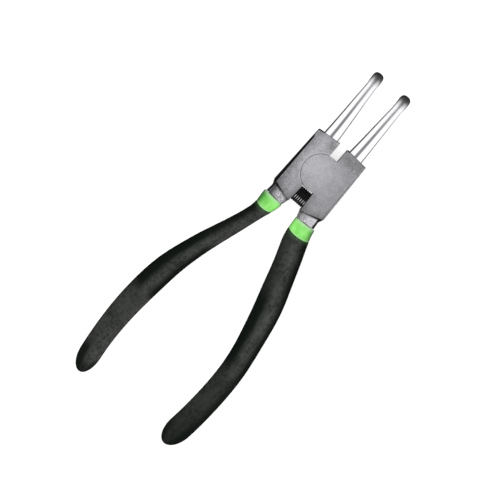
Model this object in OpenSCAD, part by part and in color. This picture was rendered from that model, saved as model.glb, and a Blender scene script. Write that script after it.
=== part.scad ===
// Circlip pliers for external rings: two lapped levers on one flush rivet, a coil
// return spring in the rear slot, bent prongs with pressed tip pins, two-tone grips.
// Millimetres. The origin lies on the pivot axis at the back face of the head,
// +Y runs to the jaws, +X to the right lever and +Z to the front face.

/* [Head] */
// Thickness of the head over both lap halves
head_thick = 10; // [9.5:0.5:12]
// Half width of the head at the jaw end
head_half_front = 12.7; // [12.2:0.1:14]
// Half width of the head at the heel
head_half_rear = 13.4; // [12.8:0.1:15]
// Distance from the pivot to the jaw end on the prong axis
jaw_reach = 14.8; // [14.4:0.1:17]
// Slope of the jaw end faces in degrees
jaw_slope = 4.5; // [0:0.5:8]
// Gap between the two jaw blocks
notch_gap = 4.4; // [3:0.1:4.6]
// Chamfer along the outer edges
edge_chamfer = 0.4; // [0.3:0.1:1]

/* [Lap joint] */
// Diameter of each lap disc
lap_dia = 17; // [16:0.5:18]
// Radial gap around each lap disc
lap_seam = 0.2; // [0.1:0.05:0.3]
// Running gap between the two lap faces
lap_gap = 0.06; // [0.04:0.01:0.1]
// Rivet shank diameter
rivet_dia = 7; // [5.5:0.5:8]
// Diameter of the countersunk rivet ends
rivet_head_dia = 9; // [8.4:0.2:10.6]
// Depth of the countersunk rivet ends
rivet_head_depth = 1.2; // [0.8:0.1:1.8]
// Running clearance between the rivet and the left lever
rivet_clear = 0.05; // [0.02:0.01:0.08]

/* [Return spring] */
// Outer diameter of the coil
spring_dia = 7.2; // [6:0.1:7.4]
// Wire diameter
wire_dia = 0.65; // [0.5:0.05:0.65]
// Number of turns
spring_turns = 10.5; // [8.5:0.5:10.5]
// Gap of the rear slot beside the lap disc
slot_gap = 5.6; // [5.4:0.1:6.2]
// Flare of each slot wall in degrees
slot_flare = 3; // [1:0.5:4]
// Depth of the spring pocket in each lever
pocket_depth = 2.6; // [2.2:0.1:3]
// Radial gap around the spring in its pocket
pocket_clear = 0.15; // [0.1:0.05:0.25]

/* [Neck] */
// Distance from the pivot to the outer heel corner
heel_reach = 13.7; // [13.2:0.1:14.5]
// Depth of the forged scoop behind the ground faces
scoop_depth = 1.4; // [1:0.1:1.6]
// Radius of the forged scoop
scoop_radius = 2.2; // [2:0.2:4]
// Width of the neck at the grip mouth
neck_width = 8.7; // [8.4:0.1:8.8]
// Shift of the neck towards the slot at the grip mouth
neck_inset = 0.3; // [0.1:0.1:0.4]
// Hollow of the outer edge below the heel corner
neck_waist = 0.9; // [0.4:0.1:1.2]
// Chamfer along the edges of the neck
neck_chamfer = 1.4; // [0.6:0.1:1.5]

/* [Handles] */
// Offset of the handle axis at the grip mouth
handle_offset = 8.8; // [8.6:0.1:9.2]
// Outward lean of the handle at the grip mouth in degrees
handle_lean = 4; // [0:0.5:6]
// Steepest outward lean of the handle in degrees
handle_splay = 19.2; // [17:0.1:22]
// Radius of the outward bend
bend_radius = 43; // [38:1:52]
// Straight stretch between the outward bend and the inward bow
straight_run = 21; // [15:0.5:26]
// Radius of the long inward bow
bow_radius = 148; // [140:1:170]
// Length of the handle axis from grip mouth to grip end
handle_length = 111.5; // [105:0.5:118]
// Width of the steel tang
tang_width = 4.2; // [3.8:0.1:4.4]
// Thickness of the steel tang
tang_thick = 5.6; // [5:0.1:6]

/* [Prongs] */
// Offset of the prong axis at the jaw end
prong_offset = 6.7; // [6.5:0.1:7.4]
// Outward lean of the prong in degrees
prong_lean = 1.4; // [0:0.1:3]
// Diameter where the prong leaves the jaw
prong_root_dia = 7; // [6:0.1:7.2]
// Diameter before the bend
prong_end_dia = 4.5; // [4:0.1:4.6]
// Diameter through the bend
elbow_dia = 4.9; // [4.7:0.1:5.2]
// Length from the jaw end to the outside of the bend
prong_length = 34; // [30:0.5:42]
// Radius of the bend on its axis
elbow_radius = 3.2; // [2.8:0.1:4]
// Distance from the prong axis down to the end of the bent leg
leg_drop = 11; // [9:0.5:14]
// Diameter at the end of the bent leg
leg_end_dia = 3; // [2.8:0.1:3.6]
// Diameter of the free end of the tip pin
pin_dia = 1.8; // [1.6:0.1:2.2]
// Diameter of the seated end of the tip pin
pin_seat_dia = 1.4; // [1:0.1:1.5]
// Free length of the tip pin
pin_free = 3; // [2:0.5:4]
// Length of the tip pin seated in the leg
pin_seat = 4; // [3:0.5:4.5]

/* [Grips] */
// Length of the exposed collar
collar_length = 6.2; // [5:0.1:8]
// Depth of the grips front to back at the mouth
grip_depth_mouth = 9; // [8.8:0.1:9.6]
// Depth of the grips front to back in the palm
grip_depth_palm = 10.4; // [9.8:0.1:11.5]
// Wall of the outer sleeve
sleeve_wall = 1; // [0.8:0.1:1]
// Step from the collar up to the sleeve
collar_step = 0.1; // [0.1:0.05:0.4]
// Length of the rounded grip end
end_round = 9.5; // [7:0.5:10]
// Right grip width at the mouth
right_mouth = 9.7; // [9:0.1:10]
// Right grip width below the collar
right_throat = 11.2; // [10:0.1:11.6]
// Right grip width at its fullest
right_swell = 12.1; // [11:0.1:12.6]
// Right grip width in the palm
right_palm = 10.8; // [10:0.1:11.4]
// Left grip width at the mouth
left_mouth = 10; // [9:0.1:10.2]
// Left grip width below the collar
left_throat = 7.2; // [7.2:0.1:9]
// Left grip width where the thumb lies
left_swell = 9.1; // [8.4:0.1:10]
// Left grip width in the palm
left_palm = 11.3; // [10:0.1:11.6]
// Right grip width near the rounded end
right_heel = 10.9; // [9.6:0.1:11.2]
// Left grip width near the rounded end
left_heel = 9.8; // [9.4:0.1:10.6]

/* [Hidden] */
$fn = 96;
steel = [0.62, 0.62, 0.6];
bright = [0.82, 0.83, 0.85];
black = [0.1, 0.1, 0.1];
green = [0.36, 0.85, 0.3];
// Overlap that lets one cut or union run past another
over = 1;
// Fitting gap between layers that do not move
layer_gap = 0.08;
mid_z = head_thick / 2;
// Height of the lap face of the lever that laps in front
lap_face_z = mid_z + lap_gap / 2;
lap_r = lap_dia / 2;
recess_r = lap_r + lap_seam;
shank_r = prong_root_dia / 2;
// Wall between the prong shank and the lap recess
shank_wall = 0.3;
shank_length = jaw_reach - lap_r - shank_wall;
pocket_r = spring_dia / 2 + pocket_clear;
// Distance between the edge of the lap disc and the spring pocket
pocket_wall = 0.05;
spring_y = -(lap_r + pocket_wall + pocket_r);
// Wall between the spring pocket and the inner heel corner
heel_wall = 0.9;
heel_inner_y = spring_y - pocket_r - heel_wall;
slot_wall_x = slot_gap / 2 - (spring_y + lap_r) * tan(slot_flare);
pocket_floor_x = slot_wall_x + pocket_depth;
slot_end_x = slot_gap / 2 - (heel_inner_y + lap_r) * tan(slot_flare);
// Length of the neck from the inner heel corner to the grip mouth
neck_run = 3.2;
mouth_gap = 0.15;
handle_start_y = heel_inner_y - neck_run;
// Distance from the outer heel corner down to the waist of the neck
waist_drop = 2.6;
neck_half_thick = mid_z - scoop_depth;
heel_angle = atan2(heel_inner_y + heel_reach, slot_end_x - head_half_rear);
// Strip of ground face left between the heel corners and the scoop
heel_land = 0.25;
scoop_run = sqrt(scoop_radius * scoop_radius - pow(scoop_radius - scoop_depth, 2));
elbow_start = prong_length - elbow_radius - elbow_dia / 2;
flare_length = 1.5;
// Handle axis: an outward bend, a straight stretch, then a long bow back towards the hand
turn = 180 / PI;
bend_length = bend_radius * (handle_splay - handle_lean) / turn;
bow_start = bend_length + straight_run;
// Distances along the handle axis where the grip widths are set
end_start = handle_length - end_round;
stations = [0, 9, 22, 37, 62, end_start];
right_widths = [right_mouth, right_throat, (3 * right_throat + right_swell) / 4, right_swell,
    right_palm, right_heel];
left_widths = [left_mouth, left_throat, (3 * left_throat + left_swell) / 4, left_swell,
    left_palm, left_heel];
grip_depths = [grip_depth_mouth, grip_depth_mouth, (grip_depth_mouth + grip_depth_palm) / 2,
    grip_depth_palm, grip_depth_palm, grip_depth_mouth];
tang_widths = [neck_width - 2 * (neck_inset + neck_chamfer), tang_width, tang_width, tang_width, tang_width,
    tang_width];
tang_depths = [for (s = stations) tang_thick];
grip_roundness = 2.4;
tang_roundness = 2.8;
ring_sides = 20;
// Rounding of the layer edges, and how far its second ring lies along and in
lip = 0.25;
lip_part = 0.3;
main_steps = 15;
end_angles = [20, 38, 54, 68, 80, 87];

// Heading of the handle axis at distance s, outward from straight back
function heading(s) =
    handle_lean + turn * (min(s, bend_length) / bend_radius
        - max(s - bow_start, 0) / bow_radius);

// Point of the handle axis at distance s from the grip mouth
function axis_point(s) = s <= bend_length
    ? [handle_offset + bend_radius * (cos(handle_lean) - cos(heading(s))),
        handle_start_y - bend_radius * (sin(heading(s)) - sin(handle_lean))]
    : s <= bow_start
    ? axis_point(bend_length) + (s - bend_length) * [sin(handle_splay), -cos(handle_splay)]
    : axis_point(bow_start)
        + bow_radius * [cos(heading(s)) - cos(handle_splay), sin(heading(s)) - sin(handle_splay)];

function station_of(s, i = 0) =
    i >= len(stations) - 2 || s < stations[i + 1] ? i : station_of(s, i + 1);

function slope_at(values, i) = i == 0 || i == len(values) - 1
    ? 0
    : (values[i + 1] - values[i - 1]) / (stations[i + 1] - stations[i - 1]);

// Smooth curve through the values at the stations
function along(s, values) =
    let (i = station_of(s), span = stations[i + 1] - stations[i])
    let (u = min(max((s - stations[i]) / span, 0), 1))
    values[i] * (2 * u * u * u - 3 * u * u + 1)
        + values[i + 1] * (3 * u * u - 2 * u * u * u)
        + span * slope_at(values, i) * (u * u * u - 2 * u * u + u)
        + span * slope_at(values, i + 1) * (u * u * u - u * u);

function rounded(c, power) = sign(c) * pow(abs(c), 2 / power);

// Rounded section across the handle axis at distance s
function section(s, half_width, half_depth, power) =
    let (p = axis_point(s), h = heading(s))
    [for (i = [0 : ring_sides - 1])
        let (a = 360 * i / ring_sides, u = half_width * rounded(cos(a), power))
        [p.x + u * cos(h), p.y + u * sin(h), mid_z + half_depth * rounded(sin(a), power)]];

// Section of a grip layer, inset from the grip surface and scaled at the rounded end
function grip_section(s, widths, inset, scale_by = 1) =
    section(s, (along(s, widths) / 2 - inset) * scale_by,
        (along(s, grip_depths) / 2 - inset) * scale_by, grip_roundness);

function tang_section(s, grow) =
    section(s, along(s, tang_widths) / 2 + grow, along(s, tang_depths) / 2 + grow,
        tang_roundness);

// Plain stretch of a grip layer, then its rounded end
function grip_run(from, widths, inset) =
    concat(
        [for (k = [0 : main_steps])
            grip_section(from + k * (end_start - from) / main_steps, widths, inset)],
        [for (a = end_angles)
            grip_section(end_start + (end_round - inset) * sin(a), widths, inset, cos(a))]);

// Rounded edge where a grip layer starts
function grip_lip(from, widths, inset) =
    [grip_section(from, widths, inset + lip),
        grip_section(from + lip_part * lip, widths, inset + lip_part * lip)];

function tang_run(from, to, grow) =
    [for (k = [0 : main_steps]) tang_section(from + k * (to - from) / main_steps, grow)];

function skin_faces(rings, first, flip) =
    [for (j = [0 : rings - 2], i = [0 : ring_sides - 1], half = [0, 1])
        let (n = (i + 1) % ring_sides)
        let (a = first + j * ring_sides + i, b = first + j * ring_sides + n)
        let (face = half == 0 ? [a, a + ring_sides, b + ring_sides] : [a, b + ring_sides, b])
        flip ? [face[2], face[1], face[0]] : face];

function cap_face(ring, flip) =
    [[for (i = [0 : ring_sides - 1])
        ring * ring_sides + (flip ? ring_sides - 1 - i : i)]];

// Solid through a list of sections
module loft(rings) {
    polyhedron(
        points = [for (ring = rings, p = ring) p],
        faces = concat(skin_faces(len(rings), 0, false), cap_face(0, false),
            cap_face(len(rings) - 1, true)));
}

// Closed-ended cup with an outer and an inner list of sections, open at the first ones
module cup(outer, inner) {
    inner_first = len(outer) * ring_sides;
    mouth = [for (i = [0 : ring_sides - 1], half = [0, 1])
        let (n = (i + 1) % ring_sides)
        half == 0 ? [i, n, inner_first + n] : [i, inner_first + n, inner_first + i]];
    polyhedron(
        points = [for (ring = concat(outer, inner), p = ring) p],
        faces = concat(skin_faces(len(outer), 0, false),
            skin_faces(len(inner), inner_first, true), mouth,
            cap_face(len(outer) - 1, true), cap_face(len(outer) + len(inner) - 1, false)));
}

module mirror_x() {
    mirror([1, 0, 0]) children();
}

// Height of the sloped jaw end at offset x
function jaw_end(x) = jaw_reach + (prong_offset - x) * tan(jaw_slope);

// Corners of the lever that the edge chamfers share
jaw_outer = [head_half_front, jaw_end(head_half_front)];
heel_outer = [head_half_rear, -heel_reach];
heel_inner = [slot_end_x, heel_inner_y];
waist = heel_outer - [neck_waist, waist_drop];
// The neck ends along the leaning mouth of the grip
mouth_middle = [handle_offset, handle_start_y + mouth_gap];
mouth_along = [cos(handle_lean), sin(handle_lean)];
neck_outer = mouth_middle + (neck_width / 2 - neck_inset) * mouth_along;
neck_inner = mouth_middle - (neck_width / 2 + neck_inset) * mouth_along;
// Point of the inner neck edge where its chamfer fades out below the heel corner
neck_inner_top = heel_inner
    + (neck_inner - heel_inner) * (over + heel_land) / norm(neck_inner - heel_inner);

// Outline of one lever from jaw end to grip mouth
module lever_outline() {
    polygon([
        [notch_gap / 2, jaw_end(notch_gap / 2)],
        jaw_outer,
        heel_outer,
        waist,
        neck_outer,
        neck_inner,
        heel_inner,
        [slot_gap / 2, -lap_r],
        [notch_gap / 2, 0]]);
}

// Bar whose one face cuts a chamfer along an edge; facing is 1 on a front edge, -1 on a
// back edge, and the material lies to the right of the way from one corner to the other
module chamfer_bar(from, to, z, size, facing) {
    edge = to - from;
    bar = 6;
    translate([from.x, from.y, z])
        rotate([0, 0, atan2(edge.y, edge.x)])
            rotate([45 * facing, 0, 0])
                translate([-over, -size / sqrt(2), -bar / 2])
                    cube([norm(edge) + 2 * over, bar, bar]);
}

// Forged scoop that leads from the ground face down to the neck
module neck_scoop() {
    reach = 40;
    translate(heel_outer)
        rotate([0, 0, heel_angle]) {
            translate([-reach / 2, heel_land + scoop_run, mid_z + scoop_radius - scoop_depth])
                rotate([0, 90, 0])
                    cylinder(r = scoop_radius, h = reach);
            translate([-reach / 2, heel_land + scoop_run, neck_half_thick])
                cube([reach, reach, mid_z]);
        }
}

module prong_place() {
    translate([prong_offset, jaw_reach, mid_z])
        rotate([0, 0, -prong_lean])
            children();
}

module rivet_shape(grow) {
    translate([0, 0, -over])
        cylinder(r = rivet_dia / 2 + grow, h = head_thick + 2 * over);
    for (z = [0, head_thick])
        translate([0, 0, z])
            mirror([0, 0, z > 0 ? 1 : 0])
                cylinder(r1 = rivet_head_dia / 2 + grow, r2 = rivet_dia / 2 + grow,
                    h = rivet_head_depth + grow);
}

// One lever with its lap disc at the front; bore_grow opens the rivet hole
module lever(bore_grow) {
    difference() {
        union() {
            linear_extrude(lap_face_z)
                difference() {
                    lever_outline();
                    circle(r = recess_r);
                }
            translate([0, 0, lap_face_z])
                linear_extrude(head_thick - lap_face_z)
                    union() {
                        lever_outline();
                        circle(r = lap_r);
                    }
        }
        rivet_shape(bore_grow);
        for (facing = [-1, 1]) {
            neck_z = mid_z + facing * neck_half_thick;
            chamfer_bar(jaw_outer, heel_outer, mid_z + facing * mid_z, edge_chamfer, facing);
            chamfer_bar(waist, neck_outer, neck_z, neck_chamfer, facing);
            chamfer_bar(neck_inner, neck_inner_top, neck_z, neck_chamfer, facing);
        }
        for (side = [0, 1])
            translate([0, 0, mid_z])
                mirror([0, 0, side])
                    neck_scoop();
        translate([pocket_floor_x, spring_y, mid_z])
            rotate([0, -90, 0])
                cylinder(r = pocket_r, h = pocket_depth + over);
        prong_place()
            translate([0, over, 0])
                rotate([90, 0, 0])
                    cylinder(r = shank_r, h = shank_length + over);
    }
    loft(tang_run(-over, end_start, 0));
}

module right_lever() {
    color(steel) lever(0);
}

module left_lever() {
    color(steel)
        translate([0, 0, head_thick])
            rotate([0, 180, 0])
                lever(rivet_clear);
}

module pivot_rivet() {
    color(steel)
        intersection() {
            rivet_shape(0);
            cylinder(r = rivet_head_dia, h = head_thick);
        }
}

// Place of the wire along the spring axis at a turn count, with closed end turns
function coil_x(t) =
    let (free = 2 * (pocket_floor_x - layer_gap) - wire_dia, closed = wire_dia + layer_gap)
    let (pitch = (free - 2 * closed) / (spring_turns - 2))
    -free / 2 + (t < 1 ? closed * t
        : t < spring_turns - 1 ? closed + pitch * (t - 1)
        : free - closed * (spring_turns - t));

module return_spring() {
    coil_r = (spring_dia - wire_dia) / 2;
    per_turn = 16;
    wire_sides = 8;
    count = round(spring_turns * per_turn);
    rings = [for (k = [0 : count])
        let (t = k / per_turn, a = 360 * t)
        [for (i = [0 : wire_sides - 1])
            let (b = 360 * i / wire_sides, r = coil_r + wire_dia / 2 * cos(b))
            [coil_x(t) + wire_dia / 2 * sin(b), spring_y + r * sin(a), mid_z + r * cos(a)]]];
    sides = [for (k = [0 : count - 1], i = [0 : wire_sides - 1], half = [0, 1])
        let (a = k * wire_sides + i, b = k * wire_sides + (i + 1) % wire_sides)
        half == 0 ? [b + wire_sides, a + wire_sides, a] : [b, b + wire_sides, a]];
    caps = [[for (i = [0 : wire_sides - 1]) wire_sides - 1 - i],
        [for (i = [0 : wire_sides - 1]) count * wire_sides + i]];
    color(black)
        polyhedron(points = [for (ring = rings, p = ring) p], faces = concat(sides, caps));
}

// Straight taper, flare, quarter bend and tapered leg, bored for the tip pin
module prong() {
    color(bright)
        prong_place()
            difference() {
                union() {
                    rotate([-90, 0, 0]) {
                        translate([0, 0, -shank_length])
                            cylinder(r = shank_r, h = shank_length);
                        cylinder(r1 = shank_r, r2 = prong_end_dia / 2,
                            h = elbow_start - flare_length);
                        translate([0, 0, elbow_start - flare_length])
                            cylinder(r1 = prong_end_dia / 2, r2 = elbow_dia / 2,
                                h = flare_length);
                    }
                    translate([0, elbow_start, -elbow_radius])
                        rotate([90, 0, 90])
                            rotate_extrude(angle = 90)
                                translate([elbow_radius, 0])
                                    circle(d = elbow_dia);
                    translate([0, elbow_start + elbow_radius, -leg_drop])
                        cylinder(d1 = leg_end_dia, d2 = elbow_dia,
                            h = leg_drop - elbow_radius);
                }
                translate([0, elbow_start + elbow_radius, -leg_drop - over])
                    cylinder(d = pin_seat_dia, h = pin_seat + over);
            }
}

// Shouldered pin: the slim end sits in the leg, the free end enters the ring
module tip_pin() {
    color(bright)
        prong_place()
            translate([0, elbow_start + elbow_radius, -leg_drop]) {
                cylinder(d = pin_seat_dia, h = pin_seat);
                translate([0, 0, -pin_free])
                    cylinder(d = pin_dia, h = pin_free);
            }
}

module right_prong() {
    prong();
}

module left_prong() {
    mirror_x() prong();
}

module right_tip_pin() {
    tip_pin();
}

module left_tip_pin() {
    mirror_x() tip_pin();
}

// Inner layer over the tang, full at the collar and rebated under the sleeve
module grip_base(widths) {
    color(green)
        cup(
            concat(
                grip_lip(0, widths, collar_step),
                [for (s = [lip, collar_length / 2, collar_length])
                    grip_section(s, widths, collar_step)],
                grip_run(collar_length, widths, sleeve_wall + layer_gap)),
            tang_run(0, end_start + layer_gap, layer_gap));
}

// Outer layer from the collar to the rounded end
module grip_sleeve(widths) {
    start = collar_length + layer_gap;
    color(black)
        cup(
            concat(grip_lip(start, widths, 0), grip_run(start + lip, widths, 0)),
            grip_run(start, widths, sleeve_wall));
}

module right_grip_base() {
    grip_base(right_widths);
}

module left_grip_base() {
    mirror_x() grip_base(left_widths);
}

module right_grip_sleeve() {
    grip_sleeve(right_widths);
}

module left_grip_sleeve() {
    mirror_x() grip_sleeve(left_widths);
}

right_lever();
left_lever();
pivot_rivet();
return_spring();
right_prong();
left_prong();
right_tip_pin();
left_tip_pin();
right_grip_base();
left_grip_base();
right_grip_sleeve();
left_grip_sleeve();
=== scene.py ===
import math

import bpy
import numpy as np
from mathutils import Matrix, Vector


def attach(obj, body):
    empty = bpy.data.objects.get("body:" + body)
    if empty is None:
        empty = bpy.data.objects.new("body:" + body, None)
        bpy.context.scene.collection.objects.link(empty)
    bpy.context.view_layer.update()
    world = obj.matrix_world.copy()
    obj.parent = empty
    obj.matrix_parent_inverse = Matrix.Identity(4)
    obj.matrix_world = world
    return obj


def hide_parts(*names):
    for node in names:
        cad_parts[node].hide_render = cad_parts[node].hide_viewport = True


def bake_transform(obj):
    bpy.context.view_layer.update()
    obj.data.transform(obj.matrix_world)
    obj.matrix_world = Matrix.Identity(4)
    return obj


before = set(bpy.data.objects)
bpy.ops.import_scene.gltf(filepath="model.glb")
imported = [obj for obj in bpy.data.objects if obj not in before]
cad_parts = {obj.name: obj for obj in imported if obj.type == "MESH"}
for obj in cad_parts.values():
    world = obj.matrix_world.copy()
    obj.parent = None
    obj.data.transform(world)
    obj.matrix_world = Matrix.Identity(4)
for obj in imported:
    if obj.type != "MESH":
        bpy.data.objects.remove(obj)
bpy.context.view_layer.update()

# Levers and rivet
# Two drop-forged steel levers, lapped on one rivet. The front and back of the head are
# ground flat with the rivet ends; the sides and the neck keep the skin of the forging.
MM = 0.001
MID_Z, FRONT_Z = 5.0, 10.0       # middle and front of the head, mm
HEEL_OUTER = (13.4, -13.95)      # where the ground face ends at the outer edge, mm
HEEL_SLOPE = 0.320               # drop of that end per mm towards the slot
HEEL_LAG = 0.5                   # the neck starts this much lower at the outer edge, mm
JAW_END = (6.7, 14.8)            # middle of the end face of a jaw, mm
JAW_SLOPE = 0.0787               # drop of that face per mm outwards
GROUND_GREY = (0.95, 0.94, 0.985, 1)
GROUND_DULL = (0.32, 0.317, 0.336, 1)
SCALE_DARK = (0.006, 0.006, 0.007, 1)
SCALE_WORN = (0.020, 0.020, 0.021, 1)
FLANK_GREY = (0.15, 0.15, 0.155, 1)
INNER_GREY = (0.34, 0.34, 0.35, 1)
NOTCH_GREY = (0.36, 0.36, 0.37, 1)
FORGED_PALE = (0.98, 0.965, 1.0, 1)
FORGED_DIM = (0.33, 0.32, 0.35, 1)
FORGED_SHADE = (0.20, 0.195, 0.215, 1)
SHINE_SHARE, SHINE_BASE = 0.714, 0.286   # how the shine moves the grey from dull to bright
# Lighter and darker patches of the ground face, the first a painted broad highlight round the
# middle: centre and reach in mm, and strength
FACE_PATCHES = (((-2.0, 1.5), 16.5, 0.60), ((-7.5, 1.0), 7.0, 0.25), ((-7.5, 12.0), 9.0, 0.26),
          ((-3.2, 11.5), 4.5, -0.50), ((8.0, 13.0), 9.0, -0.20), ((4.5, 12.0), 6.5, -0.28),
          ((10.5, 14.5), 4.0, -0.25))
# Bands of the finish: the measure each goes by, where it starts and where it is full, mm
BANDS = {
    "outer part": ("side", 4.5, 12.0),
    "neck": ("below_late", 0.0, 0.6),
    "ledge above": ("below", -0.4, 0.3),
    "ledge under": ("below", 0.4, 1.6),
    "face": ("off_mid", 4.55, 4.98),
    "notch floor": ("y", 7.0, 8.0),
    "notch wall": ("side", 2.25, 2.4),
    "worn smooth": ("x", -7.0, -4.0),
    "jaws": ("y", 5.0, 10.0),
    "off left edge": ("x", -12.6, -9.0),
    "by right edge": ("x", 8.0, 12.6),
    "by heel": ("below", -3.5, -0.4),
    "off slot": ("side", 2.8, 6.0),
    "above slot": ("y", -11.0, -7.0),
    "ring inside": ("radius", 8.6, 8.9),
    "ring outside": ("radius", 8.9, 9.5),
    "ring right": ("x", -4.0, -2.0),
    "ring above": ("y", -8.0, -5.0),
    "left edge": ("x", -12.42, -12.14),
    "left edge end": ("y", 10.4, 11.2),
    "right edge": ("x", 11.9, 12.6),
    "jaw edge": ("to_end", 0.05, 0.40),
    "jaw edge wide": ("to_end", 0.40, 0.75),
    "off left corner": ("x", -10.6, -9.4),
    "notch corner": ("x", 1.9, 2.1),
    "off notch corner": ("x", 3.2, 3.8),
    "corner up": ("y", 10.6, 11.4),
    "corner right": ("x", -12.0, -11.5),
    "corner end": ("to_end", 0.5, 0.9),
    "corner rim": ("off_mid", 4.45, 4.65),
    "neck flat": ("off_mid", 2.6, 3.5),
    "left flank": ("x", -11.6, -10.3),
    "right flank": ("x", 11.2, 12.0),
    "lit right": ("x", 7.0, 10.0),
    "shade left": ("x", -11.5, -8.0),
    "shade right": ("x", 2.5, 7.5),
    "right half": ("x", -1.0, 1.0),
    "flank rim": ("off_mid", 2.5, 3.1),
    "outer side": ("side", 6.0, 7.0),
}


def value_node(tree, operation, a, b=None, c=None):
    """One Math node; each of a, b and c is a number or a socket."""
    node = tree.nodes.new("ShaderNodeMath")
    node.operation = operation
    for socket, given in zip(node.inputs, (a, b, c)):
        if given is None:
            continue
        if isinstance(given, (int, float)):
            socket.default_value = given
        else:
            tree.links.new(given, socket)
    return node.outputs[0]


def one_less(tree, value):
    """One minus the value."""
    return value_node(tree, "SUBTRACT", 1.0, value)


def product(tree, first, *others):
    """All the values multiplied together."""
    for other in others:
        first = value_node(tree, "MULTIPLY", first, other)
    return first


def scaled(tree, value, share, base):
    """The value times a share, added to a base."""
    return value_node(tree, "MULTIPLY_ADD", value, share, base)


def ramp_node(tree, given, low, high):
    """Smooth step from 0 at low to 1 at high of the given socket."""
    node = tree.nodes.new("ShaderNodeMapRange")
    node.interpolation_type = "SMOOTHSTEP"
    node.inputs["From Min"].default_value = low
    node.inputs["From Max"].default_value = high
    tree.links.new(given, node.inputs["Value"])
    return node.outputs["Result"]


def mix_colour(tree, factor, a, b):
    """Colour between a and b; each is a colour or a socket."""
    node = tree.nodes.new("ShaderNodeMix")
    node.data_type = "RGBA"
    sockets = [s for s in node.inputs if s.type == "RGBA"]
    tree.links.new(factor, node.inputs["Factor"])
    for socket, given in zip(sockets, (a, b)):
        if isinstance(given, tuple):
            socket.default_value = given
        else:
            tree.links.new(given, socket)
    return next(s for s in node.outputs if s.type == "RGBA")


def new_material(name):
    """An empty node material with its Principled shader joined to the output."""
    made = bpy.data.materials.new(name)
    made.use_nodes = True
    tree = made.node_tree
    return made, tree, tree.nodes["Principled BSDF"]


def object_point(tree):
    """The Object coordinates."""
    return tree.nodes.new("ShaderNodeTexCoord").outputs["Object"]


def axes_of(tree, vector):
    """X, Y and Z of a vector."""
    parts = tree.nodes.new("ShaderNodeSeparateXYZ")
    tree.links.new(vector, parts.inputs[0])
    return parts.outputs["X"], parts.outputs["Y"], parts.outputs["Z"]


def grain_group():
    """Shader group for a mottled, pitted skin: broad cloudy patches and fine specks, both
    3-D noises on Object coordinates at two cell sizes given in millimetres. Stretch scales
    the noises along the tool: below one draws them out, above one squeezes them."""
    group = bpy.data.node_groups.new("skin_grain", "ShaderNodeTree")
    for name, default in (("Patch Size", 4.0), ("Speck Size", 0.4), ("Stretch", 1.0)):
        socket = group.interface.new_socket(name, in_out="INPUT", socket_type="NodeSocketFloat")
        socket.default_value = default
    for name in ("Patches", "Specks"):
        group.interface.new_socket(name, in_out="OUTPUT", socket_type="NodeSocketFloat")
    link = group.links.new
    given = group.nodes.new("NodeGroupInput")
    out = group.nodes.new("NodeGroupOutput")
    squeeze = group.nodes.new("ShaderNodeVectorMath")
    squeeze.operation = "MULTIPLY"
    axes = group.nodes.new("ShaderNodeCombineXYZ")
    axes.inputs["X"].default_value = 1.0
    axes.inputs["Z"].default_value = 1.0
    link(given.outputs["Stretch"], axes.inputs["Y"])
    link(object_point(group), squeeze.inputs[0])
    link(axes.outputs[0], squeeze.inputs[1])
    for size, out_name, detail in (("Patch Size", "Patches", 3.0), ("Speck Size", "Specks", 2.0)):
        noise = group.nodes.new("ShaderNodeTexNoise")
        noise.inputs["Detail"].default_value = detail
        noise.inputs["Roughness"].default_value = 0.55
        scale = value_node(group, "DIVIDE", 1 / MM, given.outputs[size])
        link(squeeze.outputs[0], noise.inputs["Vector"])
        link(scale, noise.inputs["Scale"])
        link(noise.outputs["Fac"], out.inputs[out_name])
    return group


skin_grain = grain_group()


def place_grain(tree, patch, speck, stretch=1.0):
    """Puts the grain group in a material with cell sizes in millimetres."""
    node = tree.nodes.new("ShaderNodeGroup")
    node.node_tree = skin_grain
    node.inputs["Patch Size"].default_value = patch
    node.inputs["Speck Size"].default_value = speck
    node.inputs["Stretch"].default_value = stretch
    return node.outputs["Patches"], node.outputs["Specks"]


def bump_on(tree, shader, height, distance, strength):
    """Bump of a given depth in metres on the shader's normal."""
    bump = tree.nodes.new("ShaderNodeBump")
    bump.inputs["Distance"].default_value = distance
    bump.inputs["Strength"].default_value = strength
    tree.links.new(height, bump.inputs["Height"])
    tree.links.new(bump.outputs["Normal"], shader.inputs["Normal"])


def lever_bands(tree, point):
    """Returns a function from the name of a band to its smooth step. The measures are x and y;
    side and off_mid, the distances from the middle line and the middle plane; radius, from the
    pivot axis; below, under the heel line, and below_late, the same with the lag of the outer
    edge; to_end, from the end face of the jaw."""
    x, y, z = axes_of(tree, point)
    side = value_node(tree, "ABSOLUTE", x)
    off_mid = value_node(tree, "ABSOLUTE", value_node(tree, "SUBTRACT", z, MID_Z * MM))
    radius = value_node(tree, "SQRT", scaled(tree, x, x, product(tree, y, y)))
    from_outer = value_node(tree, "SUBTRACT", HEEL_OUTER[0] * MM, side)
    heel = scaled(tree, from_outer, -HEEL_SLOPE, HEEL_OUTER[1] * MM)
    from_prong = value_node(tree, "SUBTRACT", JAW_END[0] * MM, side)
    end = scaled(tree, from_prong, JAW_SLOPE, JAW_END[1] * MM)
    measures = {"x": x, "y": y, "side": side, "off_mid": off_mid, "radius": radius,
                "below": value_node(tree, "SUBTRACT", heel, y),
                "to_end": value_node(tree, "SUBTRACT", end, y)}

    def band(name):
        """Smooth step from 0 to 1 across the named band."""
        measure, low, high = BANDS[name]
        return ramp_node(tree, measures[measure], low * MM, high * MM)

    measures["below_late"] = scaled(tree, band("outer part"), -HEEL_LAG * MM, measures["below"])
    return band


def face_patch(tree, point, centre, reach):
    """Round patch on the front face that fades out from its centre."""
    away = tree.nodes.new("ShaderNodeVectorMath")
    away.operation = "DISTANCE"
    away.inputs[1].default_value = [c * MM for c in (*centre, FRONT_Z)]
    tree.links.new(point, away.inputs[0])
    return one_less(tree, ramp_node(tree, away.outputs["Value"], 0.0, reach * MM))


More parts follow.
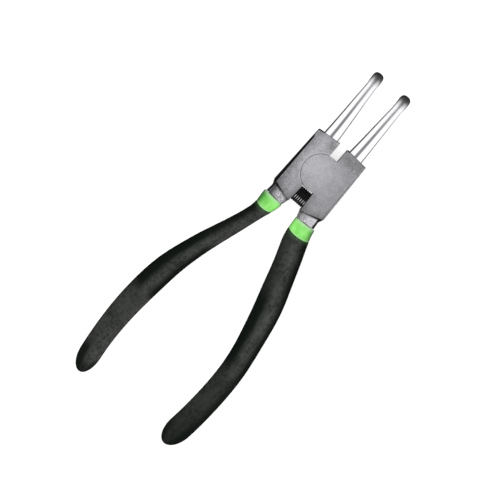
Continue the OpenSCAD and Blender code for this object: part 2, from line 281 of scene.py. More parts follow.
def ground_colour(tree, band, point, streaks, cloudy):
    """Grey of the ground faces. Streaks, clouds and grit add up to a shine between dull and
    bright; painted shade makes it less by the edges, the heel and the slot, the patches change it,
    the largest being a painted broad highlight, and a painted highlight makes it more in a ring on
    the left lever round the lap disc."""
    _, grit = place_grain(tree, 2.2, 0.85)
    shine = scaled(tree, streaks, 0.34, scaled(tree, cloudy, 0.20, 0.02))
    smoothed = value_node(tree, "MINIMUM", band("worn smooth"), one_less(tree, band("jaws")))
    grit_depth = scaled(tree, smoothed, -0.80, 1.60)
    shine = scaled(tree, value_node(tree, "SUBTRACT", grit, 0.5), grit_depth, shine)
    # Painted shade by the slot, the heel and the edges; painted highlight in the ring round the lap
    # disc
    by_slot = product(tree, one_less(tree, band("off slot")), one_less(tree, band("above slot")))
    ring = value_node(tree, "SUBTRACT", band("ring inside"), band("ring outside"))
    ring = product(tree, ring, one_less(tree, band("ring right")), band("ring above"))
    marks = [(one_less(tree, band("off left edge")), -0.50), (band("by right edge"), -0.06),
             (band("by heel"), -0.32), (by_slot, -0.50), (ring, 0.60)]
    marks += [(face_patch(tree, point, centre, reach), strength)
              for centre, reach, strength in FACE_PATCHES]
    for mask, strength in marks:
        shine = scaled(tree, mask, strength, shine)
    return mix_colour(tree, scaled(tree, shine, SHINE_SHARE, SHINE_BASE), GROUND_DULL, GROUND_GREY)


def ground_face(tree, band):
    """Share of the ground finish against dark scale: full on the flats, less in a dark line on the
    left edge, a soft one on the right edge and at the jaw ends, and a wider painted shadow at the
    outer left corner and by the notch; full again on the chamfer of the left jaw's outer edge."""
    left_edge = value_node(tree, "MAXIMUM", band("left edge"), band("left edge end"))
    right_edge = scaled(tree, band("right edge"), -0.35, 1.0)
    jaw_edge = scaled(tree, band("jaw edge"), 0.75, 0.25)
    # The wider dark line at the outer left corner and by the notch is painted shadow
    by_notch = value_node(tree, "SUBTRACT", band("notch corner"), band("off notch corner"))
    wide = value_node(tree, "MAXIMUM", one_less(tree, band("off left corner")), by_notch)
    wide = product(tree, one_less(tree, band("jaw edge wide")), wide)
    wide_edge = scaled(tree, wide, -0.95, 1.0)
    face = product(tree, band("face"), left_edge, right_edge, jaw_edge, wide_edge)
    corner = product(tree, band("corner up"), one_less(tree, band("corner right")),
                     band("corner end"), band("corner rim"))
    return value_node(tree, "MAXIMUM", face, corner)


def forged_colour(tree, band, pitted, scale):
    """Colour of the neck: pale pitted flats with painted light to the right and painted shade at
    their inner right and outer left ends; grey on the inner side, dark scale or grey on the outer,
    with a painted shadow in scale colour on the left flank's rim."""
    # Painted light towards the right, and painted shade at the ends of the flats
    pale = mix_colour(tree, scaled(tree, band("lit right"), 0.55, pitted), FORGED_DIM, FORGED_PALE)
    lit = value_node(tree, "MAXIMUM", band("shade right"), one_less(tree, band("right half")))
    pale = mix_colour(tree, product(tree, band("shade left"), lit), FORGED_SHADE, pale)
    # Painted shadow on the rim of the left flank, in the colour of the scale
    flank = mix_colour(tree, band("flank rim"), SCALE_DARK, FLANK_GREY)
    flank = mix_colour(tree, band("left flank"), flank, scale)
    flank = mix_colour(tree, band("outer side"), INNER_GREY, flank)
    flat = product(tree, band("neck flat"), band("left flank"), one_less(tree, band("right flank")))
    return mix_colour(tree, flat, flank, pale)


def forged_and_ground():
    """Steel that is ground bright on the faces of the head above the heel line, pale and pitted
    on the neck below it, dull grey in the notch, dark with scale elsewhere, and with a painted
    shade along the ledge between head and neck."""
    made, tree, shader = new_material("forged_and_ground_steel")
    point = object_point(tree)
    band = lever_bands(tree, point)
    patches, specks = place_grain(tree, 3.2, 0.35)
    streaks, scratches = place_grain(tree, 1.6, 0.22, 0.12)
    cloudy = ramp_node(tree, patches, 0.35, 0.68)
    pitted = ramp_node(tree, specks, 0.36, 0.62)
    scale = mix_colour(tree, product(tree, pitted, cloudy), SCALE_DARK, SCALE_WORN)
    notch = product(tree, band("notch floor"), one_less(tree, band("notch wall")),
                    one_less(tree, band("face")))
    neck = band("neck")
    face = ground_face(tree, band)
    ground = mix_colour(tree, face, scale, ground_colour(tree, band, point, streaks, cloudy))
    ground = mix_colour(tree, notch, ground, NOTCH_GREY)
    worked = mix_colour(tree, neck, ground, forged_colour(tree, band, pitted, scale))
    # Painted shade along the ledge under the heel line, in the colour of the scale
    ledge = value_node(tree, "SUBTRACT", band("ledge above"), band("ledge under"))
    ledge = product(tree, ledge, scaled(tree, band("outer part"), 0.50, 0.38))
    tree.links.new(mix_colour(tree, ledge, worked, scale), shader.inputs["Base Color"])
    tree.links.new(one_less(tree, notch), shader.inputs["Metallic"])
    dull = scaled(tree, notch, 0.40, scaled(tree, scratches, 0.16, 0.36))
    tree.links.new(scaled(tree, neck, 0.22, dull), shader.inputs["Roughness"])
    skin = value_node(tree, "MAXIMUM", neck, one_less(tree, face))
    bump_on(tree, shader, scaled(tree, scratches, 0.06, product(tree, specks, skin)), 0.35 * MM, 0.6)
    return made


steel = forged_and_ground()
for name in ("right_lever", "left_lever", "pivot_rivet"):
    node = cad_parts[name]
    node.data.materials.clear()
    node.data.materials.append(steel)

# Prongs
# Turned steel rods, tapered, polished bright and bent square to the back at the end, where
# heat has dulled them. Each one is pressed into a bore in the end of its jaw block.
PRONG_OFFSET, JAW_REACH = JAW_END
PRONG_LEAN = math.radians(1.4)
ROOT_R, END_R, ELBOW_R = 3.5, 2.25, 2.445
ELBOW_START, BEND_R, LEG_END_R, LEG_DROP = 28.35, 3.2, 1.5, 11.0
FLARE = 1.5                      # half the length over which the rod swells at the bend, mm
LEG_TAPER = 1.4                  # power of the taper down the leg
LEG_ROUND, LEG_ROUND_OVER = 0.35, 0.5   # rounding of the leg's end, mm
SQUARED = 0.5                    # how much squarer than round the bend's section is
PRONG_AROUND = 96
PRONG_SWAY = -0.3                # both bends lie this far to one side, mm
POLISH, HEAT_STAIN = (0.90, 0.90, 0.92, 1), (0.50, 0.50, 0.515, 1)
STAINED_FROM, STAINED_TO = 41.5, 45.5   # the stain along the tool, mm
HANDLED_FROM, HANDLED_TO = 16.0, 44.0   # the loss of polish along the tool, mm


def surface_mesh(name, rings):
    """Closed mesh from an array of rings (rows, around, xyz) in millimetres: quads between
    neighbouring rows, the last column joined to the first, and a fan on each end ring."""
    rows, around = rings.shape[:2]
    centres = np.stack([rings[0].mean(0), rings[-1].mean(0)])
    points = np.concatenate([rings.reshape(-1, 3), centres]) * MM
    column = np.arange(around)
    beside = (column + 1) % around
    start = np.arange(rows - 1)[:, None] * around
    quads = np.stack([start + column, start + around + column, start + around + beside,
                      start + beside], -1).reshape(-1, 4)
    first = np.stack([column, beside, np.full(around, rows * around)], -1)
    last = (rows - 1) * around
    end = np.stack([last + beside, last + column, np.full(around, rows * around + 1)], -1)
    mesh = bpy.data.meshes.new(name)
    mesh.from_pydata(points.tolist(), [], quads.tolist() + first.tolist() + end.tolist())
    mesh.polygons.foreach_set("use_smooth", np.ones(len(mesh.polygons), bool))
    mesh.update()
    made = bpy.data.objects.new(name, mesh)
    bpy.context.scene.collection.objects.link(made)
    return made


def superellipse(around, power):
    """Unit section: cosine and sine of the turn, each drawn out to the power two over the
    given power, which may be an array with one entry per row."""
    turn = np.arange(around) * 2 * np.pi / around
    draw = 2 / np.asarray(power, float)[..., None]
    u = np.sign(np.cos(turn)) * np.abs(np.cos(turn)) ** draw
    v = np.sign(np.sin(turn)) * np.abs(np.sin(turn)) ** draw
    return u, v


def step(t, start, over):
    """Eased step of t from 0 at the start to 1 after a further stretch."""
    t = np.clip((t - start) / over, 0, 1)
    return t * t * (3 - 2 * t)


def shifted(rings, sway):
    """The rings moved sideways by one distance for each point."""
    return rings + np.stack([sway, 0 * sway, 0 * sway], -1)


def prong_rings():
    """A round section carried along a line, a quarter circle and a second line; its radius
    tapers to the bend, swells through it and tapers to the end of the leg."""
    quarter = BEND_R * np.pi / 2
    leg = LEG_DROP - BEND_R
    s = np.concatenate([np.linspace(-1, ELBOW_START - 3, 60),
                        np.linspace(ELBOW_START - 2.9, ELBOW_START, 16),
                        ELBOW_START + np.linspace(0.02, 1, 44) * quarter,
                        ELBOW_START + quarter + np.linspace(0.03, 1, 30) * leg])
    bent = np.clip(s - ELBOW_START, 0, quarter) / BEND_R
    down = np.clip(s - ELBOW_START - quarter, 0, leg)
    y = np.minimum(s, ELBOW_START) + BEND_R * np.sin(bent)
    z = -BEND_R * (1 - np.cos(bent)) - down
    taper = ROOT_R + (END_R - ROOT_R) * np.clip(s, 0, None) / (ELBOW_START - FLARE)
    r = np.maximum(taper, END_R)
    r = r + (ELBOW_R - END_R) * step(s, ELBOW_START - FLARE, 2 * FLARE)
    r = r + (LEG_END_R - ELBOW_R) * (down / leg) ** LEG_TAPER
    r = r - LEG_ROUND * np.clip((down - leg + LEG_ROUND_OVER) / LEG_ROUND_OVER, 0, 1) ** 2
    power = 2 + SQUARED * step(s, ELBOW_START - 1, 4) - SQUARED * step(down, 3, 4)
    u, v = superellipse(PRONG_AROUND, power)
    x = u * r[:, None]
    out = v * r[:, None]
    yy = y[:, None] + out * np.sin(bent)[:, None]
    zz = z[:, None] + out * np.cos(bent)[:, None]
    lean_x = PRONG_OFFSET + x * np.cos(PRONG_LEAN) + yy * np.sin(PRONG_LEAN)
    lean_y = JAW_REACH - x * np.sin(PRONG_LEAN) + yy * np.cos(PRONG_LEAN)
    return np.stack([lean_x, lean_y, MID_Z + zz], -1)


def swayed_prong(rings):
    """The rings moved sideways: eased in from the jaw to the bend, and eased out again down
    the leg, so that root and pin stay where they are."""
    return shifted(rings, PRONG_SWAY * step(rings[..., 1], 17, 27) * step(rings[..., 2], -5, 7))


def mirrored(rings):
    """The same rings on the left, with each ring turned round so that faces point out."""
    return (rings * [-1, 1, 1])[:, ::-1]


def polished_steel():
    """Bright polish with faint turning marks, less bright towards the heat-stained bend."""
    made, tree, shader = new_material("polished_prong")
    patches, specks = place_grain(tree, 2.5, 0.12, 6.0)
    _, y, _ = axes_of(tree, object_point(tree))
    stained = ramp_node(tree, y, STAINED_FROM * MM, STAINED_TO * MM)
    tree.links.new(mix_colour(tree, stained, POLISH, HEAT_STAIN), shader.inputs["Base Color"])
    shader.inputs["Metallic"].default_value = 1.0
    handled = ramp_node(tree, y, HANDLED_FROM * MM, HANDLED_TO * MM)
    worn = scaled(tree, patches, 0.06, scaled(tree, handled, 0.30, 0.05))
    tree.links.new(worn, shader.inputs["Roughness"])
    bump_on(tree, shader, specks, 0.004 * MM, 0.5)
    return made


bright_steel = polished_steel()
for side, rings in (("right", prong_rings()), ("left", mirrored(prong_rings()))):
    prong = surface_mesh(f"{side}_prong_polished", swayed_prong(rings))
    prong.data.materials.append(bright_steel)
    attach(prong, f"{side}_half")
    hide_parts(f"{side}_prong")
    prong.visible_glossy = False

# Tip pins
# Small hardened pins with a shoulder, pressed into the ends of the bent legs. They are dull
# from heat treatment and go into the holes of the ring.
PIN_DARK, PIN_LIGHT = (0.20, 0.19, 0.18, 1), (0.42, 0.42, 0.43, 1)


def hardened_steel():
    """Dull grey steel with a cloudy heat stain."""
    made, tree, shader = new_material("hardened_pin")
    patches, specks = place_grain(tree, 0.8, 0.1)
    stain = mix_colour(tree, ramp_node(tree, patches, 0.3, 0.7), PIN_DARK, PIN_LIGHT)
    tree.links.new(stain, shader.inputs["Base Color"])
    shader.inputs["Metallic"].default_value = 1.0
    tree.links.new(scaled(tree, specks, 0.25, 0.25), shader.inputs["Roughness"])
    return made


pin_steel = hardened_steel()
for side in ("right", "left"):
    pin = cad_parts[f"{side}_tip_pin"]
    pin.data.materials.clear()
    pin.data.materials.append(pin_steel)

# Return spring
# A coil of blackened spring wire across the slot, held in a pocket in each lever; its end
# turns lie close.
SPRING_Y, COIL_R, WIRE_R, TURNS = -12.3, 3.205, 0.475, 10.5
POCKET_FLOOR, END_GAP = 5.599, 0.08     # pocket floor from the middle, gap left there, mm
SPRING_FREE = 2 * (POCKET_FLOOR - END_GAP) - 2 * WIRE_R
CLOSE_PITCH = 2 * WIRE_R + 0.02
PER_TURN, WIRE_AROUND = 40, 36
GLINT_FROM, GLINT_TO = 12.0, 38.0     # part of each turn with a painted glint, degrees behind the front
WIRE_DARK, WIRE_BLACK = (0.002, 0.002, 0.002, 1), (0.007, 0.007, 0.007, 1)
# Grey of the painted glint on each turn
WIRE_GLINT = (0.28, 0.28, 0.29, 1)


def spring_turns():
    """Turn count of every row of the wire."""
    return np.linspace(0, TURNS, int(TURNS * PER_TURN) + 1)


def spring_rings():
    """A round wire section carried along a helix on the X axis; the first and last turn
    advance by one wire, the turns between share the rest."""
    t = spring_turns()
    x = np.interp(t, [0, 1, TURNS - 1, TURNS],
                  [0, CLOSE_PITCH, SPRING_FREE - CLOSE_PITCH, SPRING_FREE])
    turn = 2 * np.pi * t[:, None]
    b = -np.arange(WIRE_AROUND) * 2 * np.pi / WIRE_AROUND
    reach = COIL_R + WIRE_R * np.cos(b)
    return np.stack([(x - SPRING_FREE / 2)[:, None] + WIRE_R * np.sin(b) + 0 * turn,
                     SPRING_Y + reach * np.sin(turn), MID_Z + reach * np.cos(turn)], -1)


def store_values(piece, name, values):
    """Stores one value for each point of the rings, and none on the two end points."""
    given = np.concatenate([values.ravel(), [0, 0]])
    piece.data.attributes.new(name, "FLOAT", "POINT").data.foreach_set("value", given)


def stored_mask(tree, name):
    """Values stored on the piece under a name."""
    mark = tree.nodes.new("ShaderNodeAttribute")
    mark.attribute_name = name
    return mark.outputs["Fac"]


def mark_painted_glint(piece):
    """Stores on every point the painted glint: the outside of the wire, on a short part of each
    turn between two angles behind the front."""
    behind = (180 - 360 * spring_turns()) % 360 - 180
    middle, half = (GLINT_FROM + GLINT_TO) / 2, (GLINT_TO - GLINT_FROM) / 2
    in_turn = 1 - step(np.abs(behind - middle), half - 5, 8)
    outside = step(np.cos(np.arange(WIRE_AROUND) * 2 * np.pi / WIRE_AROUND), 0.95, 0.03)
    store_values(piece, "painted_glint", in_turn[:, None] * outside)


def black_wire():
    """Blackened wire, half dull, with a painted glint of bright grey on each turn."""
    made, tree, shader = new_material("blackened_wire")
    patches, specks = place_grain(tree, 1.2, 0.15)
    tint = mix_colour(tree, patches, WIRE_DARK, WIRE_BLACK)
    # Painted glint: bright grey on a short part of each turn
    tint = mix_colour(tree, stored_mask(tree, "painted_glint"), tint, WIRE_GLINT)
    tree.links.new(tint, shader.inputs["Base Color"])
    shader.inputs["Specular IOR Level"].default_value = 0.06
    tree.links.new(scaled(tree, specks, 0.15, 0.16), shader.inputs["Roughness"])
    return made


spring = surface_mesh("return_spring_coil", spring_rings())
mark_painted_glint(spring)
spring.data.materials.append(black_wire())
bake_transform(spring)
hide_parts("return_spring")

# Grips
# Soft plastic in two colours moulded over the steel tang: a green layer that shows as a
# collar behind the neck, and a black sleeve with a fine dry grain over the rest.
HANDLE_X, HANDLE_Y = 8.8, -20.15
LEAN, SPLAY = math.radians(4), math.radians(19.2)
BEND, STRAIGHT, BOW, HANDLE_LENGTH = 43.0, 21.0, 148.0, 111.5
COLLAR, COLLAR_STEP, SLEEVE_WALL, END_ROUND = 6.2, 0.1, 1.0, 9.5
STATIONS = np.array([0, 9, 22, 37, 62, HANDLE_LENGTH - END_ROUND])
RIGHT_WIDTHS = np.array([10.2, 11.3, 11.425, 12.1, 10.8, 10.9])
LEFT_WIDTHS = np.array([10.0, 7.2, 7.675, 9.1, 11.3, 9.8])
DEPTHS = np.array([9.0, 9.0, 9.7, 10.4, 10.4, 9.0])
SECTION_POWER, GRIP_AROUND = 2.4, 96
EDGE_TURN, EDGE_DIP = 0.75, 1.1  # how the edge between the colours leans and dips, mm
EDGE_AT = {"right": COLLAR - 0.3, "left": COLLAR}   # where that edge lies along each handle, mm
EDGE_GAP = 0.08                  # the sleeve starts this much behind the edge, mm
COLLAR_LIP, SLEEVE_LIP = 0.4, 0.35      # rounding of the lips, mm
UNDER_SLEEVE = 3.0               # the collar's layer is drawn this far under the sleeve, mm
END_SHARE = 0.985                # share of the end's quarter ellipse before the closing fan
SKIN_IN = 0.04                   # keeps the smooth skin inside the faceted solid, mm
BENDS = ((0.36, -37, 10), (-0.29, -70, 10))   # sideways sway: most, middle and reach along Y, mm
PALM_SWAY = {"right": 0.38, "left": 0.0}      # sway of the end of each grip to the left, mm
PAINTED_LIGHT_MOST = 2.2                  # most painted light, in shares of what lies on a crown
# Black of the sleeve, and the grey it takes in the painted light
GRIP_BLACK, GRIP_PAINTED_LIT = (0.0024, 0.0035, 0.0026, 1), (0.0605, 0.0622, 0.0580, 1)
LIP_GREEN = (0.022, 0.062, 0.018, 1)
# Deep green of the painted shade on the outer flank, then the green and the paler green of the
# moulding
GREEN_PAINTED_SHADE, GREEN_MID, GREEN_PALE = ((0.020, 0.115, 0.014, 1), (0.096, 0.318, 0.052, 1),
                                     (0.150, 0.395, 0.098, 1))
# Pale green of the painted light on the inner flank, and the greyish rim, at the mouth a painted
# highlight
GREEN_PAINTED_LIT, GREEN_RIM = (0.215, 0.600, 0.130, 1), (0.24, 0.33, 0.22, 1)


def station_curve(s, values):
    """Cubic curve through the station values, with the slope at each one taken from its two
    neighbours and level at both ends."""
    slope = np.zeros(len(values))
    slope[1:-1] = (values[2:] - values[:-2]) / (STATIONS[2:] - STATIONS[:-2])
    i = np.clip(np.searchsorted(STATIONS, s, side="right") - 1, 0, len(values) - 2)
    span = STATIONS[i + 1] - STATIONS[i]
    u = np.clip((s - STATIONS[i]) / span, 0, 1)
    return (values[i] * (2 * u**3 - 3 * u**2 + 1) + values[i + 1] * (3 * u**2 - 2 * u**3)
            + span * slope[i] * (u**3 - 2 * u**2 + u) + span * slope[i + 1] * (u**3 - u**2))


def handle_axis(s):
    """An arc outwards, a straight stretch and a long arc back inwards, all in the plane of the
    tool: each share of the length adds its own chord to the place of the mouth."""
    bend_length = BEND * (SPLAY - LEAN)
    on_bend = LEAN + np.minimum(s, bend_length) / BEND
    straight = np.clip(s - bend_length, 0, STRAIGHT)
    h = on_bend - np.maximum(s - bend_length - STRAIGHT, 0) / BOW
    x = HANDLE_X + BEND * (np.cos(LEAN) - np.cos(on_bend)) + straight * np.sin(SPLAY)
    y = HANDLE_Y - BEND * (np.sin(on_bend) - np.sin(LEAN)) - straight * np.cos(SPLAY)
    x = x + BOW * (np.cos(h) - np.cos(on_bend))
    y = y + BOW * (np.sin(h) - np.sin(on_bend))
    return x, y, h


def grip_rings(s, inset, shrink, widths, edge):
    """A rounded section carried along the handle axis: half width and half depth come from
    the station curves, less the inset, times the shrink of the rounded end. Near the edge
    between the colours each ring is set square to the tool and dips on its front and back."""
    u, v = superellipse(GRIP_AROUND, np.full(len(s), SECTION_POWER))
    near = np.exp(-((s - edge) / 4) ** 2)[:, None]
    s = s[:, None] + near * (EDGE_TURN * u + EDGE_DIP * (v**2 - 0.5))
    x, y, h = handle_axis(s)
    across = u * (station_curve(s, widths) / 2 - inset[:, None]) * shrink[:, None]
    depth = v * (station_curve(s, DEPTHS) / 2 - inset[:, None]) * shrink[:, None]
    rings = np.stack([x + across * np.cos(h), y + across * np.sin(h), MID_Z + depth], -1)
    return rings[:, ::-1]


def swayed_grip(rings, palm):
    """The rings moved sideways by eased bends along the tool: to the right behind the collar,
    to the left at the middle, and to the left by palm towards the end."""
    y = rings[..., 1]
    sway = sum(most * np.exp(-((y - middle) / reach) ** 2) for most, middle, reach in BENDS)
    return shifted(rings, sway - palm * step(-y, 84, 26))


def sleeve_rows(edge):
    """Distances, insets and shrink of the sleeve: a rounded lip, the plain run, and an end
    whose half sizes follow a quarter ellipse."""
    start = edge + EDGE_GAP
    lip = np.linspace(0, np.pi / 2, 8)
    lip_s = start + SLEEVE_LIP * (1 - np.cos(lip))
    lip_in = SLEEVE_LIP * (1 - np.sin(lip))
    run = np.linspace(start + 0.5, HANDLE_LENGTH - END_ROUND, 150)
    end = np.linspace(0.02, 1, 40) * np.pi / 2 * END_SHARE
    end_s = HANDLE_LENGTH - END_ROUND + (END_ROUND - SKIN_IN) * np.sin(end)
    s = np.concatenate([[start], lip_s, run, end_s])
    inset = np.concatenate([[SLEEVE_WALL], lip_in, np.zeros(len(run) + len(end))]) + SKIN_IN
    shrink = np.concatenate([np.ones(len(s) - len(end)), np.cos(end)])
    return s, inset, shrink


def collar_rows(edge):
    """Distances, insets and shrink of the collar: a rounded lip at the mouth, a plain run to
    the edge, and a step down that goes a little way under the sleeve."""
    lip = np.linspace(0, np.pi / 2, 8)
    run = np.linspace(0.5, edge, 30)
    under = SLEEVE_WALL + 0.1
    s = np.concatenate([[0], COLLAR_LIP * (1 - np.cos(lip)), run,
                        [edge + 0.04, edge + UNDER_SLEEVE]])
    inset = np.concatenate([[COLLAR_STEP + 0.6], COLLAR_STEP + COLLAR_LIP * (1 - np.sin(lip)),
                            np.full(len(run), COLLAR_STEP), [under, under]]) + SKIN_IN
    return s, inset, np.ones(len(s))


def collar_marks(u, along, side, edge):
    """Marks of a collar: painted light, with painted shade on the outer flank (u is one there); more
    painted light on the inner flank, less on the right; and a rim at each of its two edges."""
    painted_shade = step(u, 0.50, 0.6)
    flank_light_share = 0.45
    if side == "left":
        painted_shade = 0.40 * step(u, -0.3, 0.9) + 0.55 * step(u, 0.45, 0.55)
        flank_light_share = 1.0
    # The rim at the mouth is a painted highlight
    rim = np.maximum(1 - step(along, 0.2, 1.8), 0.7 * step(along, edge - 1.0, 0.9))
    return {"painted_lit_flank": flank_light_share * step(-u, 0.35, 0.55), "rim": rim + 0 * u, "painted_light": 1 - painted_shade}


def right_painted_light(u, along):
    """Painted light and shade of the right sleeve, light where high: first on its inner side, then
    along a crown a little outside the middle, then flat on the palm but for the outer flank. The
    end is darker at its sides."""
    palm = step(along, 64, 14)
    behind_collar = 1 - step(along, 26, 12)
    first = 0.45 - 0.15 * step(along, 12, 20) + 0.55 * step(u, -0.7, 0.8)
    first = first * (1 - step(u, 0.15, 0.75))
    crown_at = 0.20 - 0.10 * step(along, 46, 14)
    crown = (1 - step(np.abs(u - crown_at), 0.08, 0.66)) * (1 - 0.25 * step(along, 50, 40))
    flat = 0.48 - 0.06 * step(u, -0.8, 0.6) - 0.38 * step(u, 0.15, 0.75)
    flat = flat + 0.15 * step(-u, 0.6, 0.4) + 0.08 * (1 - step(along, 74, 12))
    painted_light = (first * behind_collar + crown * (1 - behind_collar)) * (1 - palm) + flat * palm
    painted_light = painted_light * (1 - 0.34 * step(along, 92, 14))
    painted_light = painted_light * (1 - 0.80 * step(along, 90, 14) * step(u, 0.10, 0.5))
    return painted_light * (1 - 0.75 * step(along, 99, 7) * step(-u, 0.35, 0.4))


def left_painted_light(u, along):
    """Painted light and shade of the left sleeve, light where high: first on its inner side, then
    along a crown a little inside the middle, then all over the palm, most on its inner side. The
    end is darker, and its outer side black."""
    palm = step(along, 64.5, 7)
    behind_collar = 1 - step(along, 26, 12)
    first = 0.08 + 0.84 * (1 - step(u, -0.25, 0.9)) + 1.1 * step(-u, 0.4, 0.6)
    crown = 0.86 * (1 - step(np.abs(u + 0.17), 0.08, 0.60))
    flat = 0.66 + 0.20 * step(-u, 0.2, 0.4) + 0.40 * step(np.abs(u), 0.6, 0.35)
    flat = flat + 0.60 * step(-u, 0.6, 0.35)
    flat = flat + 0.35 * step(along, 84, 10) * (1 - step(u, -0.1, 0.5))
    painted_light = (first * behind_collar + crown * (1 - behind_collar)) * (1 - palm) + flat * palm
    painted_light = painted_light * (1 - 0.75 * step(along, 103, 6))
    painted_light = painted_light * (1 - 0.92 * step(along, 96, 5) * step(u, 0.10, 0.40))
    return painted_light * (1 - 0.75 * step(along, 101, 5) * step(-u, 0.4, 0.4))


def mark_painted_light(piece, s, side, layer, edge):
    """Stores the marks of a grip on its points: painted light and shade, the rims, and on the collar
    the painted light on the inner flank.
    The right grip's rings run the other way round."""
    u, _ = superellipse(GRIP_AROUND, np.full(len(s), SECTION_POWER))
    along = s[:, None]
    if layer == "base":
        marks = collar_marks(u, along, side, edge)
    else:
        painted_light = right_painted_light(u, along) if side == "right" else left_painted_light(u, along)
        marks = {"rim": 1 - step(along, edge + 0.3, 1.7) + 0 * u, "painted_light": painted_light / PAINTED_LIGHT_MOST}
    for name, values in marks.items():
        store_values(piece, name, values if side == "left" else values[:, ::-1])


def dry_black():
    """Black soft plastic, dull, with painted light and shade made uneven by four grains, a fine
    dry grain and a green cast at the lip."""
    made, tree, shader = new_material("dry_black_grip")
    patches, specks = place_grain(tree, 9.0, 0.55)
    small, fine = place_grain(tree, 1.6, 0.25)
    _, hairs = place_grain(tree, 5.0, 1.1, 0.14)
    uneven = 0.26
    for grain, low, high, share in ((small, 0.35, 0.65, 0.42), (patches, 0.35, 0.65, 0.36),
                                    (specks, 0.40, 0.66, 0.42), (hairs, 0.60, 0.70, 0.55)):
        uneven = scaled(tree, ramp_node(tree, grain, low, high), share, uneven)
    uneven = value_node(tree, "MINIMUM", uneven, 1.12)
    # Painted light and shade: the stored mask, made uneven by the grains, lifts the black towards
    # grey
    tint = mix_colour(tree, product(tree, stored_mask(tree, "painted_light"), uneven), GRIP_BLACK, GRIP_PAINTED_LIT)
    tint = mix_colour(tree, product(tree, stored_mask(tree, "rim"), 0.45), tint, LIP_GREEN)
    tree.links.new(tint, shader.inputs["Base Color"])
    shader.inputs["Specular IOR Level"].default_value = 0.03
    tree.links.new(scaled(tree, specks, 0.2, 0.55), shader.inputs["Roughness"])
    bump_on(tree, shader, scaled(tree, fine, 0.5, specks), 0.05 * MM, 0.5)
    return made


def soft_green():
    """Bright green soft plastic with a slight unevenness from moulding, a deep green painted shade
    on the outer flank, a paler painted light on the inner flank and greyish at its edges, at the
    mouth as a painted highlight."""
    made, tree, shader = new_material("soft_green_collar")
    patches, specks = place_grain(tree, 3.0, 0.5)
    tint = mix_colour(tree, ramp_node(tree, patches, 0.3, 0.7), GREEN_MID, GREEN_PALE)
    # Painted shade: deep green on the outer flank
    tint = mix_colour(tree, stored_mask(tree, "painted_light"), GREEN_PAINTED_SHADE, tint)
    # Painted light on the inner flank
    tint = mix_colour(tree, stored_mask(tree, "painted_lit_flank"), tint, GREEN_PAINTED_LIT)
    # Greyish rims; the one at the mouth is a painted highlight
    tint = mix_colour(tree, product(tree, stored_mask(tree, "rim"), 0.6), tint, GREEN_RIM)
    tree.links.new(tint, shader.inputs["Base Color"])
    shader.inputs["Specular IOR Level"].default_value = 0.35
    tree.links.new(scaled(tree, specks, 0.15, 0.38), shader.inputs["Roughness"])
    bump_on(tree, shader, specks, 0.03 * MM, 0.4)
    return made


black_grip = dry_black()
green_grip = soft_green()
for side, widths in (("right", RIGHT_WIDTHS), ("left", LEFT_WIDTHS)):
    edge = EDGE_AT[side]
    for layer, rows, finish in (("sleeve", sleeve_rows(edge), black_grip),
                                ("base", collar_rows(edge), green_grip)):
        rings = grip_rings(*rows, widths, edge)
        rings = mirrored(rings) if side == "left" else rings
        grip = surface_mesh(f"{side}_grip_{layer}_skin", swayed_grip(rings, PALM_SWAY[side]))
        mark_painted_light(grip, rows[0], side, layer, edge)
        grip.data.materials.append(finish)
        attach(grip, f"{side}_half")
        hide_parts(f"{side}_grip_{layer}")

# Floor
# A plain pale board. The tool stands on its tips and on the ends of its grips, so the board
# drops from the grips to the tips. It glows a little, which keeps the shadows soft and pale.
FLOOR_TIP = (46.0, -9.05)        # y and z where the tips stand, mm
FLOOR_SLOPE = -0.0570            # change of its height per mm towards the jaws
FLOOR_REACH = 4000.0             # half its width, mm
FLOOR_GREY, FLOOR_GLOW = (0.35, 0.35, 0.35, 1), 0.66
far = np.array([-FLOOR_REACH, FLOOR_REACH])
fx, fy = np.meshgrid(far, far)
fz = FLOOR_TIP[1] + (fy - FLOOR_TIP[0]) * FLOOR_SLOPE
floor_points = np.stack([fx, fy, fz], -1).reshape(-1, 3) * MM
floor_mesh = bpy.data.meshes.new("floor")
floor_mesh.from_pydata(floor_points.tolist(), [], [(0, 1, 3, 2)])
floor = bpy.data.objects.new("floor", floor_mesh)
bpy.context.scene.collection.objects.link(floor)
pale, _, shader = new_material("pale_floor")
shader.inputs["Base Color"].default_value = FLOOR_GREY
shader.inputs["Roughness"].default_value = 0.9
shader.inputs["Specular IOR Level"].default_value = 0.0
shader.inputs["Emission Color"].default_value = (1, 1, 1, 1)
shader.inputs["Emission Strength"].default_value = FLOOR_GLOW
floor.data.materials.append(pale)
floor.visible_glossy = False
floor.visible_diffuse = False

# Studio
# White walls, a grey strip of ceiling between two long lights, a dark end beyond the jaws
# and a dark floor, all by direction, shown mostly by polish; and one large soft light above.
STRIP_MIDDLE, STRIP_EDGE, STRIP_LOW = 0.06, (0.22, 0.56), (0.3, 0.6)
BEYOND_RISE, BEYOND_EDGE = -0.55, (0.10, 0.80)
UNDER_LEAN, UNDER_EDGE = 0.16, (-0.75, -0.22)
STRIP_LESS, BEYOND_LESS, UNDER_LESS = -0.78, -0.95, -0.92
IN_POLISH, IN_ALL, IN_PICTURE = 1.15, 0.05, 0.9     # strength by kind of ray
LIGHT_AT, LIGHT_TO, LIGHT_SIZE, LIGHT_POWER = (-0.10, -0.05, 1.10), (0, -0.03, 0), 0.9, 32.0
world = bpy.data.worlds.new("studio")
bpy.context.scene.world = world
world.use_nodes = True
world.cycles.sampling_method = "NONE"
tree = world.node_tree
sky = tree.nodes["Background"]
sky.inputs["Color"].default_value = (1, 1, 1, 1)
x, y, z = axes_of(tree, tree.nodes.new("ShaderNodeTexCoord").outputs["Generated"])
off_middle = value_node(tree, "ABSOLUTE", value_node(tree, "ADD", x, STRIP_MIDDLE))
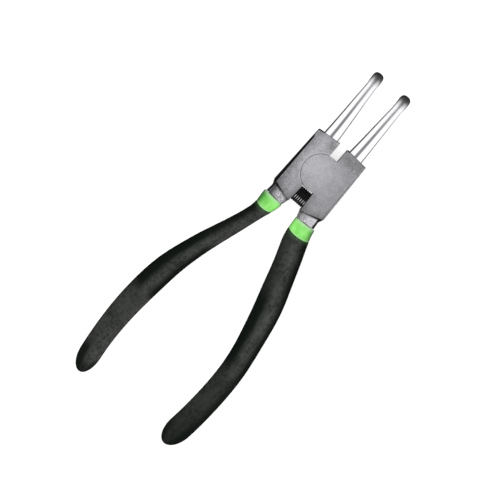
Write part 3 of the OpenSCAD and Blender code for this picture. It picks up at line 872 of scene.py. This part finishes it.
strip = product(tree, one_less(tree, ramp_node(tree, off_middle, *STRIP_EDGE)),
                ramp_node(tree, z, *STRIP_LOW))
beyond = ramp_node(tree, scaled(tree, z, BEYOND_RISE, y), *BEYOND_EDGE)
under = one_less(tree, ramp_node(tree, scaled(tree, x, UNDER_LEAN, z), *UNDER_EDGE))
lit = product(tree, scaled(tree, strip, STRIP_LESS, 1.0), scaled(tree, beyond, BEYOND_LESS, 1.0),
              scaled(tree, under, UNDER_LESS, 1.0))
rays = tree.nodes.new("ShaderNodeLightPath")
shown = product(tree, lit, scaled(tree, rays.outputs["Is Glossy Ray"], IN_POLISH, IN_ALL))
shown = scaled(tree, rays.outputs["Is Camera Ray"], IN_PICTURE, shown)
tree.links.new(shown, sky.inputs["Strength"])

lamp = bpy.data.lights.new("overhead", "AREA")
lamp.shape = "RECTANGLE"
lamp.size = lamp.size_y = LIGHT_SIZE
lamp.energy = LIGHT_POWER
overhead = bpy.data.objects.new("overhead", lamp)
bpy.context.scene.collection.objects.link(overhead)
overhead.location = LIGHT_AT
aim = Vector(LIGHT_TO) - Vector(LIGHT_AT)
overhead.rotation_euler = aim.to_track_quat("-Z", "Y").to_euler()
overhead.visible_glossy = False

# Camera
# A long lens that looks down on the front face, a little from the left. The tool leans to
# the right in the picture, as in the photo.
SHOT = (-2.0, -43.5, 10.0)       # point of the front face in the middle of the picture, mm
ROLL = math.radians(40.5)        # the tool leans this far clockwise in the picture
TILT_X, TILT_Y = math.radians(3.0), math.radians(0.8)
DISTANCE, WIDTH = 1600.0, 210.0  # lens to front face, and width of the picture there, mm
SENSOR = 36.0                    # width of the sensor, mm
back_x, back_y = -math.sin(TILT_X), math.sin(TILT_Y)
back = Vector((back_x, back_y, math.sqrt(1 - back_x**2 - back_y**2)))
up = Vector((-math.sin(ROLL), math.cos(ROLL), 0))
right = up.cross(back).normalized()
up = back.cross(right)
lens = bpy.data.cameras.new("camera")
lens.sensor_width = SENSOR
lens.lens = SENSOR * DISTANCE / WIDTH
lens.clip_start, lens.clip_end = 0.05, 20.0
camera = bpy.data.objects.new("camera", lens)
bpy.context.scene.collection.objects.link(camera)
turned = Matrix((right, up, back)).transposed().to_4x4()
turned.translation = Vector(SHOT) * MM + back * DISTANCE * MM
camera.matrix_world = turned
bpy.context.scene.camera = camera
bpy.context.scene.view_settings.view_transform = "Standard"
